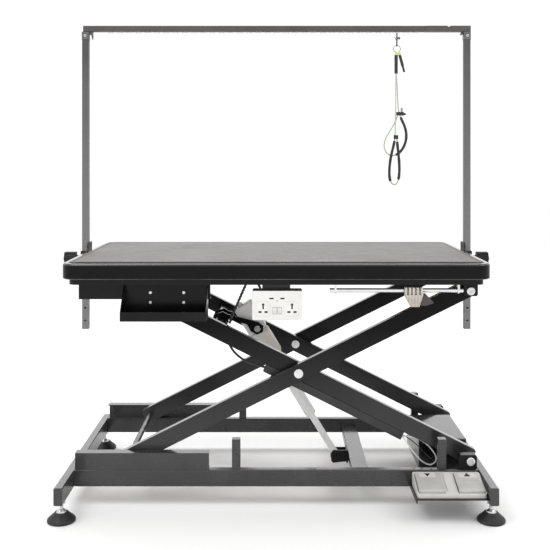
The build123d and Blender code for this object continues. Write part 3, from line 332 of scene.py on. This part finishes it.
# feet: black moulded cone on a bright stud
g = G("levelling_foot")
z = g.xyz()["Z"]
stud = g.math("GREATER_THAN", z, 0.0264)
thread = g.math("SINE", g.math("MULTIPLY", z, 2 * math.pi / 0.0015))
th = g.math("MULTIPLY", g.math("MULTIPLY", thread, g.math("GREATER_THAN", z, 0.0352)), 0.5)
rub = g.mix(g.ramp(g.noise(70, 5), 0.3, 0.75), (0.006, 0.006, 0.006), (0.018, 0.018, 0.0175))
col = g.mix(stud, rub, (0.66, 0.66, 0.67))
r = g.math("MULTIPLY_ADD", stud, -0.28, 0.52)
m_foot = g.finish(col, g.math("ADD", r, g.ramp(g.noise(90, 4), 0.3, 0.7, -0.03, 0.06)),
                  g.bump(g.math("ADD", th, g.math("MULTIPLY", g.noise(700, 2), 0.3)), 0.5, 0.0006), metallic=g.math("MULTIPLY", stud, 0.9))
assign(m_foot, "foot_front_left", "foot_front_right", "foot_rear_left", "foot_rear_right")

# actuator
m_gear = moulded("gear_casing", (0.70, 0.665, 0.61), (0.80, 0.765, 0.71), 0.40, 650, 0.14)
assign(m_gear, "actuator_gearbox")
m_motor = coated("motor_casing", (0.74, 0.75, 0.76), (0.85, 0.86, 0.87), 0.30, scale=12, wear=(0.55, 0.55, 0.55), wear_amt=0.15, peel_s=0.05)
assign(m_motor, "actuator_motor")
m_tube = coated("actuator_outer_tube", (0.80, 0.795, 0.785), (0.89, 0.885, 0.875), 0.26, scale=15, wear=(0.60, 0.59, 0.58), wear_amt=0.15, peel_s=0.05)
assign(m_tube, "actuator_tube")
m_rod = coated("anodised_rod", (0.80, 0.80, 0.80), (0.89, 0.89, 0.89), 0.24, scale=20, wear=(0.60, 0.60, 0.60), wear_amt=0.15, peel_s=0.04)
assign(m_rod, "actuator_rod")
m_hook = metal("dark_nickel", (0.10, 0.10, 0.10), (0.20, 0.20, 0.20), 0.30, (1.0, 1.0, 0.3), 500, 0.06)
assign(m_hook, "snap_hook")

# table rim: gloss black moulding with fine scuffs and a painted highlight along its lower edge
g = G("rim_gloss")
sc = g.noise(30, 5, 0.65, g.scaled((0.5, 0.5, 7.0)))
col = g.mix(g.ramp(g.noise(5, 4), 0.3, 0.8), (0.0015, 0.0015, 0.0017), (0.0035, 0.0035, 0.004))
sr = g.xyz()
# painted highlight: grey streak along the rim's lower edge, below Z 0.6852
painted_edge_highlight = g.math("MULTIPLY", g.math("LESS_THAN", sr["Z"], 0.6852), g.ramp(g.noise(12, 3), 0.3, 0.6, 0.25, 0.6))
col = g.mix(painted_edge_highlight, col, (0.16, 0.16, 0.165))
m_rim = g.finish(col, g.ramp(sc, 0.35, 0.8, 0.10, 0.22), g.bump(g.noise(220, 3), 0.02, 0.0006), coat=0.08, coat_rough=0.05, spec=0.14)
gloss_top(g, 0.06, 1.0, 0.25, 0.6)
g.link(g.ramp(sr["Z"], 0.7215, 0.7245, 0.14, 0.6), g.b.inputs["Specular IOR Level"])
assign(m_rim, "table_rim")

# board: plain panel seen only from below
g = G("board_ply")
grain = g.noise(9, 8, 0.65, g.scaled((1.0, 14.0, 14.0)))
ring = g.noise(60, 4, 0.6, g.scaled((0.5, 6.0, 6.0)))
col = g.mix(g.ramp(grain, 0.3, 0.7), (0.20, 0.135, 0.08), (0.38, 0.28, 0.175))
col = g.mix(g.ramp(ring, 0.5, 0.75, 0.0, 0.5), col, (0.12, 0.075, 0.04))
sb = g.xyz()
col = g.mix(g.math("GREATER_THAN", sb["Z"], 0.7286), col, (0.012, 0.012, 0.012))
m_board = g.finish(col, 0.62, g.bump(g.math("ADD", grain, ring), 0.25, 0.0006))
assign(m_board, "table_board")

# mat: grey anti-slip rubber, pebbled, with a darker border line, painted shade in its pebble pits and painted shade
# along its outer edge
g = G("mat_rubber")
s = g.xyz()
ax = g.math("ABSOLUTE", s["X"])
ay = g.math("ABSOLUTE", g.math("SUBTRACT", s["Y"], 0.033))
edge = g.math("MAXIMUM", g.math("SUBTRACT", ax, 0.604), g.math("SUBTRACT", ay, 0.304))
line = g.math("MULTIPLY", g.ramp(edge, -0.0125, -0.0115), g.ramp(edge, -0.0075, -0.0085))
# painted shade along the mat's outer edge, where it meets the rim
painted_rim_seam_shade = g.ramp(edge, -0.0022, -0.0012)
dark = g.math("MAXIMUM", line, painted_rim_seam_shade)
peb = g.voronoi(260)
fine = g.noise(900, 3)
base = g.mix(g.ramp(g.noise(5.5, 6), 0.3, 0.75), (0.150, 0.145, 0.140), (0.188, 0.182, 0.175))
# painted shade: darker colour in the pebble pits, where the bump is low
base = g.mix(g.ramp(peb, 0.1, 0.6, 0.22, 0.0), base, (0.12, 0.115, 0.11))
col = g.mix(dark, base, (0.045, 0.045, 0.047))
h = g.math("ADD", g.math("MULTIPLY", peb, 0.8), g.math("MULTIPLY", fine, 0.25))
m_mat = g.finish(col, g.ramp(g.noise(24, 5), 0.3, 0.75, 0.50, 0.66), g.bump(g.math("SUBTRACT", h, g.math("MULTIPLY", dark, 0.8)), 0.45, 0.0009), spec=0.4)
assign(m_mat, "table_mat")

# socket box: off-white moulding, painted shade inside its slots, one small lamp
g = G("socket_plastic")
s = g.xyz()
deep = g.math("MULTIPLY", g.math("GREATER_THAN", s["Y"], -0.2828), g.math("LESS_THAN", s["Y"], -0.2735))
inx = g.math("LESS_THAN", g.math("ABSOLUTE", g.math("SUBTRACT", s["X"], 0.003)), 0.068)
inz = g.math("LESS_THAN", g.math("ABSOLUTE", g.math("SUBTRACT", s["Z"], 0.606)), 0.030)
# painted shade inside the recessed outlets
painted_slot_shade = g.math("MULTIPLY", deep, g.math("MULTIPLY", inx, inz))
up = g.math("MULTIPLY", g.math("GREATER_THAN", s["Z"], 0.6499), 1.0)
lamp_d = g.math("ADD", g.math("POWER", g.math("SUBTRACT", s["X"], 0.0022), 2.0), g.math("POWER", g.math("SUBTRACT", s["Z"], 0.622), 2.0))
lamp = g.math("MULTIPLY", g.math("LESS_THAN", lamp_d, 0.0000036), g.math("LESS_THAN", s["Y"], -0.2836))
gland = g.math("GREATER_THAN", s["Y"], -0.2379)
col = g.mix(g.ramp(g.noise(18, 4), 0.3, 0.75), (0.70, 0.685, 0.665), (0.79, 0.775, 0.755))
col = g.mix(painted_slot_shade, col, (0.02, 0.02, 0.02))
col = g.mix(g.math("MAXIMUM", up, gland), col, (0.015, 0.015, 0.016))
col = g.mix(lamp, col, (0.30, 0.30, 0.29))
m_sock = g.finish(col, g.ramp(g.noise(50, 4), 0.3, 0.75, 0.30, 0.42), g.bump(g.noise(900, 2), 0.08, 0.0003), coat=0.1)
assign(m_sock, "socket_box")
m_rock = moulded("rocker_plastic", (0.62, 0.61, 0.58), (0.72, 0.71, 0.68), 0.32, 1200, 0.1)
assign(m_rock, "socket_rocker_left", "socket_rocker_right")

m_chrome = metal("chrome_rail", (0.70, 0.70, 0.71), (0.86, 0.86, 0.87), 0.12, (0.05, 1.0, 1.0), 600, 0.04)
assign(m_chrome, "accessory_rail")

# holster: beige ribbed cup, paler toward the top, with painted shade on its right side and in its rib grooves
g = G("holster_plastic")
s = g.xyz()
rib = g.math("SINE", g.math("MULTIPLY", s["X"], 2 * math.pi / 0.009))
# painted shade: the cup's right side is painted dark
painted_shade_side = g.math("MULTIPLY", g.math("GREATER_THAN", g.math("MULTIPLY_ADD", s["Z"], -0.3, s["X"]), 0.2376), g.math("LESS_THAN", s["Z"], 0.6405))
col = g.mix(g.ramp(g.noise(60, 5), 0.3, 0.75), (0.40, 0.345, 0.285), (0.56, 0.51, 0.45))
col = g.mix(g.ramp(s["Z"], 0.62, 0.655), col, (0.62, 0.61, 0.58))
# painted shade in the rib grooves, where the bump is low
col = g.mix(g.ramp(rib, -0.2, -0.9, 0.0, 0.45), col, (0.22, 0.19, 0.16))
col = g.mix(painted_shade_side, col, (0.055, 0.048, 0.046))
m_hol = g.finish(col, 0.36, g.bump(rib, 0.5, 0.0012))
assign(m_hol, "rail_holder")

# gantry: warm grey hammered coat, with painted light lower down and painted shade in the hammer dimples
g = G("gantry_hammered")
cell = g.voronoi(420, "SMOOTH_F1")
cloud = g.noise(7, 5)
# painted light: the posts are painted paler lower down
painted_low_light = g.ramp(g.xyz()["Z"], 1.40, 0.72)
col = g.mix(g.ramp(cloud, 0.3, 0.75), (0.070, 0.066, 0.065), (0.100, 0.096, 0.095))
col = g.mix(g.math("MULTIPLY", painted_low_light, 0.8), col, (0.24, 0.235, 0.23))
# painted shade in the hammer dimples, where the bump is low
col = g.mix(g.ramp(cell, 0.1, 0.6, 0.18, 0.0), col, (0.05, 0.048, 0.047))
sg = g.xyz()
loops = g.math("MULTIPLY", g.math("LESS_THAN", sg["Z"], 1.4584), g.math("GREATER_THAN", sg["Z"], 1.4440))
loops = g.math("MULTIPLY", loops, g.math("LESS_THAN", g.math("ABSOLUTE", g.math("SUBTRACT", sg["Y"], 0.112)), 0.0014))
col = g.mix(loops, col, (0.86, 0.86, 0.86))
m_gan = g.finish(col, g.ramp(g.noise(80, 5), 0.3, 0.75, 0.34, 0.50), g.bump(g.math("ADD", cell, g.math("MULTIPLY", g.noise(900, 2), 0.3)), 0.12, 0.0006), metallic=0.15, spec=0.35)
assign(m_gan, "post_left", "post_right", "top_bar")
g = G("cap_hammered")
s = g.xyz()
screw_d = g.math("SQRT", g.math("ADD", g.math("POWER", g.math("SUBTRACT", g.math("ABSOLUTE", s["X"]), 0.6396), 2.0), g.math("POWER", g.math("SUBTRACT", s["Z"], 1.445), 2.0)))
screw = g.math("MULTIPLY", g.math("LESS_THAN", screw_d, 0.0043), g.math("LESS_THAN", s["Y"], 0.0992))
slot_x = g.math("LESS_THAN", g.math("ABSOLUTE", g.math("SUBTRACT", g.math("ABSOLUTE", s["X"]), 0.6396)), 0.0006)
slot_z = g.math("LESS_THAN", g.math("ABSOLUTE", g.math("SUBTRACT", s["Z"], 1.445)), 0.0006)
# painted shade in the cross slot of each cap screw
cross = g.math("MULTIPLY", g.math("MAXIMUM", slot_x, slot_z), g.math("LESS_THAN", screw_d, 0.0028))
col = g.mix(g.ramp(g.noise(40, 4), 0.3, 0.7), (0.085, 0.080, 0.079), (0.125, 0.12, 0.119))
col = g.mix(screw, col, (0.72, 0.72, 0.73))
col = g.mix(g.math("MULTIPLY", screw, cross), col, (0.03, 0.03, 0.03))
m_cap = g.finish(col, g.math("MULTIPLY_ADD", screw, -0.2, 0.44), g.bump(g.voronoi(420), 0.2, 0.0006), metallic=g.math("MULTIPLY", screw, 0.85))
assign(m_cap, "post_caps")

# noose fittings: steel ring, lime knot, black sleeves and locks, steel crimp
g = G("noose_hardware")
s = g.xyz()
ringm = g.math("GREATER_THAN", s["Z"], 1.3903)
knot = g.math("MULTIPLY", g.math("GREATER_THAN", s["Z"], 1.3809), g.math("LESS_THAN", s["Z"], 1.3903))
crimp = g.math("MULTIPLY", g.math("GREATER_THAN", s["Z"], 1.1902), g.math("LESS_THAN", s["Z"], 1.21))
steel = g.math("MAXIMUM", ringm, crimp)
col = g.mix(g.ramp(g.noise(150, 4), 0.3, 0.75), (0.008, 0.008, 0.008), (0.02, 0.02, 0.02))
lime = g.mix(g.ramp(g.noise(420, 3, 0.6, g.scaled((1, 1, 0.3))), 0.35, 0.65), (0.42, 0.52, 0.14), (0.66, 0.74, 0.34))
col = g.mix(knot, col, lime)
col = g.mix(steel, col, (0.34, 0.34, 0.34))
wr = g.noise(500, 3)
m_fit = g.finish(col, g.math("MULTIPLY_ADD", steel, -0.15, 0.45), g.bump(wr, 0.3, 0.0006), metallic=g.math("MULTIPLY", steel, 0.9))
assign(m_fit, "noose_fittings")


# ------------------------------------------------------------------ cords
def mm(points):
    return [tuple(c / 1000.0 for c in p) for p in points]


A_Y, B_Y = 108.5, 115.5
NOOSE_LONG = mm([
    (401.5, A_Y, 1319.0), (400.4, A_Y, 1268.0), (400.9, A_Y, 1214.0), (399.2, A_Y, 1160.0),
    (399.5, A_Y, 1110.0), (394.0, A_Y, 1078.0), (384.5, A_Y, 1042.0), (379.5, A_Y, 1004.0),
    (379.0, A_Y, 971.0), (386.0, A_Y, 948.5), (402.5, A_Y, 945.0), (411.5, A_Y, 966.0),
    (413.5, A_Y, 1002.0), (411.0, A_Y, 1040.0), (406.8, A_Y, 1074.0), (405.0, A_Y, 1099.0)])
NOOSE_SHORT = mm([
    (404.0, B_Y, 1319.0), (406.5, B_Y, 1278.0), (408.2, B_Y, 1234.0), (411.0, B_Y, 1192.0),
    (420.0, B_Y, 1167.0), (432.0, B_Y, 1143.0), (438.5, B_Y, 1114.0), (434.5, B_Y, 1084.0),
    (419.0, B_Y, 1056.0), (394.0, B_Y, 1041.0), (370.0, B_Y, 1050.0), (360.5, B_Y, 1077.0),
    (369.5, B_Y, 1107.0), (387.0, B_Y, 1134.0), (401.0, B_Y, 1158.0), (408.0, B_Y, 1178.2)])
CABLE_UPPER = mm([
    (-45.0, -230.0, 636.0), (-45.5, -212.0, 640.0), (-50.0, -194.0, 649.0), (-58.0, -175.0, 659.5), (-68.5, -154.0, 666.0),
    (-80.0, -134.0, 664.5), (-90.0, -118.5, 653.0), (-98.5, -109.0, 634.5), (-108.5, -105.5, 611.0), (-119.5, -104.0, 585.5),
    (-131.0, -104.5, 559.0), (-140.5, -104.0, 537.0), (-145.0, -104.0, 521.5)])
CABLE_LOWER = mm([
    (-33.0, -142.5, 394.6), (-54.0, -140.5, 399.0), (-79.0, -131.0, 404.0), (-104.0, -121.0, 414.0), (-127.0, -116.0, 431.0),
    (-144.0, -116.5, 455.0), (-153.0, -117.0, 481.0), (-156.0, -116.5, 506.0), (-153.5, -116.0, 528.0)])
WIRES = mm([
    (384.0, -142.5, 187.5), (401.0, -142.0, 178.5), (421.0, -139.0, 164.0), (441.0, -131.0, 144.0), (460.0, -119.0, 122.0),
    (478.0, -104.5, 102.0), (490.0, -92.0, 89.0), (495.5, -80.0, 82.0)])


def spline(name, pts, dia):
    cu = bpy.data.curves.new(name, "CURVE")
    cu.dimensions = "3D"
    sp = cu.splines.new("NURBS")
    sp.points.add(len(pts) - 1)
    for p, q in zip(sp.points, pts):
        p.co = (*q, 1.0)
    sp.order_u = 3
    sp.use_endpoint_u = True
    sp.resolution_u = 10
    cu.bevel_depth = dia / 2
    cu.bevel_resolution = 6
    cu.use_fill_caps = True
    ob = bpy.data.objects.new(name, cu)
    scene.collection.objects.link(ob)
    return ob


def line_of(pts):
    """Points along the route's own NURBS spline, in order."""
    ob = spline("probe", pts, 0.0)
    ob.data.bevel_depth = 0.0
    ob.data.use_fill_caps = False
    bpy.context.view_layer.update()
    me = bpy.data.meshes.new_from_object(ob)
    out = [v.co.copy() for v in me.vertices]
    data = ob.data
    bpy.data.objects.remove(ob)
    bpy.data.curves.remove(data)
    bpy.data.meshes.remove(me)
    return out


def tube(name, line, radius, sides=16, shape=None, caps=True):
    """Mesh tube along a list of points; shape(t) scales its radius."""
    bm = bmesh.new()
    n = len(line)
    rings = []
    up = Vector((0, 1, 0.013)).normalized()
    for i, p in enumerate(line):
        d = (line[min(i + 1, n - 1)] - line[max(i - 1, 0)]).normalized()
        a = (up - d * up.dot(d)).normalized()
        b = d.cross(a)
        up = a
        r = radius * (shape(i / (n - 1)) if shape else 1.0)
        rings.append([bm.verts.new(p + a * (r * math.cos(k * 2 * math.pi / sides)) + b * (r * math.sin(k * 2 * math.pi / sides))) for k in range(sides)])
    for u, v in zip(rings, rings[1:]):
        for k in range(sides):
            bm.faces.new((u[k], u[(k + 1) % sides], v[(k + 1) % sides], v[k]))
    if caps:
        bm.faces.new(list(reversed(rings[0])))
        bm.faces.new(rings[-1])
    bmesh.ops.recalc_face_normals(bm, faces=bm.faces)
    me = bpy.data.meshes.new(name)
    bm.to_mesh(me)
    bm.free()
    for f in me.polygons:
        f.use_smooth = len(f.vertices) == 4
    ob = bpy.data.objects.new(name, me)
    scene.collection.objects.link(ob)
    return ob


def part_of(line, keep):
    return [p for p in line if keep(p)]


def resample(line, step):
    out, carry = [line[0].copy()], 0.0
    for a, b in zip(line, line[1:]):
        seg = (b - a).length
        while carry + seg >= step:
            t = (step - carry) / seg
            a = a.lerp(b, t)
            out.append(a.copy())
            seg = (b - a).length
            carry = 0.0
        carry += seg
    out.append(line[-1].copy())
    return out


# noose cord: thin coated cable, pale green over grey strands
g = G("noose_cord_coated")
tw = g.noise(900, 3, 0.6, g.scaled((1, 1, 0.25)))
s = g.xyz()
fade = g.ramp(s["Z"], 1.30, 1.12)
col = g.mix(fade, (0.50, 0.54, 0.50), (0.42, 0.50, 0.27))
col = g.mix(g.ramp(tw, 0.4, 0.7, 0.0, 0.5), col, (0.25, 0.29, 0.20))
m_cord = g.finish(col, 0.34, g.bump(tw, 0.4, 0.0004), coat=0.3)
m_sleeve = coated("shrink_sleeve", (0.007, 0.007, 0.007), (0.016, 0.016, 0.016), 0.42, scale=60, peel=500, peel_s=0.3, wear=(0.06, 0.06, 0.06), wear_amt=0.3)
m_jacket = coated("cable_jacket", (0.010, 0.010, 0.010), (0.022, 0.022, 0.022), 0.40, scale=40, peel=700, peel_s=0.2, wear=(0.08, 0.08, 0.08), wear_amt=0.25)
m_white_wire = moulded("white_wire", (0.82, 0.81, 0.79), (0.90, 0.89, 0.87), 0.4, 900, 0.1)

long_line = line_of(NOOSE_LONG)
short_line = line_of(NOOSE_SHORT)


def sleeve(name, line, radius):
    pts = resample(line, 0.004)
    ob = tube(name, pts, radius, 18, lambda t: 0.93 + 0.05 * math.sin(t * 9.0) * math.sin(t * 23.0) + 0.06 * min(1.0, 14 * t, 14 * (1 - t)))
    ob.data.materials.append(m_sleeve)
    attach(ob, "noose")
    return ob


low = min(range(len(long_line)), key=lambda i: long_line[i].z)
sl1 = sleeve("noose_sleeve_long_left", [p for i, p in enumerate(long_line) if i < low and 0.957 < p.z < 1.094], 0.0046)
sl2 = sleeve("noose_sleeve_long_right", [p for i, p in enumerate(long_line) if i > low and 0.962 < p.z < 1.094], 0.0046)
low2 = min(range(len(short_line)), key=lambda i: short_line[i].z)
sl3 = sleeve("noose_sleeve_short", [p for i, p in enumerate(short_line) if i < low2 and 1.046 < p.z < 1.174], 0.0046)

cord_a = spline("noose_cord_long_piece", NOOSE_LONG, 0.0042)
cord_a.data.materials.append(m_cord)
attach(cord_a, "noose")
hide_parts("noose_cord_long")

cord_b = spline("noose_cord_short_piece", NOOSE_SHORT, 0.0042)
cord_b.data.materials.append(m_cord)
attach(cord_b, "noose")
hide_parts("noose_cord_short")

upper_line = line_of(CABLE_UPPER)
cab_u = spline("socket_cable_upper_piece", CABLE_UPPER, 0.0072)
cab_u.data.materials.append(m_jacket)
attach(cab_u, "tabletop")
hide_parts("socket_cable_upper")
# spiral wrap round the hanging stretch
hang = resample([p for p in upper_line if p.z < 0.640 and p.y > -0.135], 0.0012)
coil, upv = [], Vector((0, 1, 0.01)).normalized()
for i, p in enumerate(hang):
    d = (hang[min(i + 1, len(hang) - 1)] - hang[max(i - 1, 0)]).normalized()
    a = (upv - d * upv.dot(d)).normalized()
    b = d.cross(a)
    upv = a
    ang = i * 0.0012 / 0.0105 * 2 * math.pi
    coil.append(p + a * (0.0040 * math.cos(ang)) + b * (0.0040 * math.sin(ang)))
wrap = tube("socket_cable_wrap", coil, 0.0011, 8)
wrap.data.materials.append(m_sleeve)
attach(wrap, "tabletop")

lower_line = line_of(CABLE_LOWER)
cab_l = spline("socket_cable_lower_piece", CABLE_LOWER, 0.0072)
cab_l.data.materials.append(m_jacket)
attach(cab_l, "inner_arms")
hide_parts("socket_cable_lower")

# two control wires from the duct to the control box, bending between the arm and the base
for tag, off, swell, m in (("black", (0.0, 0.0018, 0.0008), (0.0, 0.0, 0.0), m_jacket), ("white", (0.0, -0.0018, -0.0008), (0.020, -0.004, 0.016), m_white_wire), ("white_low", (0.0, -0.0030, 0.0), (-0.014, -0.004, -0.020), m_white_wire)):
    span = len(WIRES) - 1
    pts = [(x + off[0] + swell[0] * math.sin(math.pi * i / span), y + off[1] + swell[1] * math.sin(math.pi * i / span), z + off[2] + swell[2] * math.sin(math.pi * i / span)) for i, (x, y, z) in enumerate(WIRES)]
    ln = line_of(pts)
    w = tube(f"control_wire_{tag}", ln, 0.0016 if tag == "black" else 0.0021, 12)
    w.data.materials.append(m)
    if tag == "black":
        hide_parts("control_wires")
    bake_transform(w)

# ------------------------------------------------------------------ floor
me = bpy.data.meshes.new("floor")
me.from_pydata([(-40, -12, -0.0005), (40, -12, -0.0005), (40, 56, -0.0005), (-40, 56, -0.0005)], [], [(0, 1, 2, 3)])
floor = bpy.data.objects.new("floor", me)
scene.collection.objects.link(floor)
g = G("floor_pale")
fcol = g.mix(g.ramp(g.noise(0.8, 3), 0.3, 0.7), (0.955, 0.955, 0.955), (0.975, 0.975, 0.975))
floor.data.materials.append(g.finish(fcol, 0.9, spec=0.0))
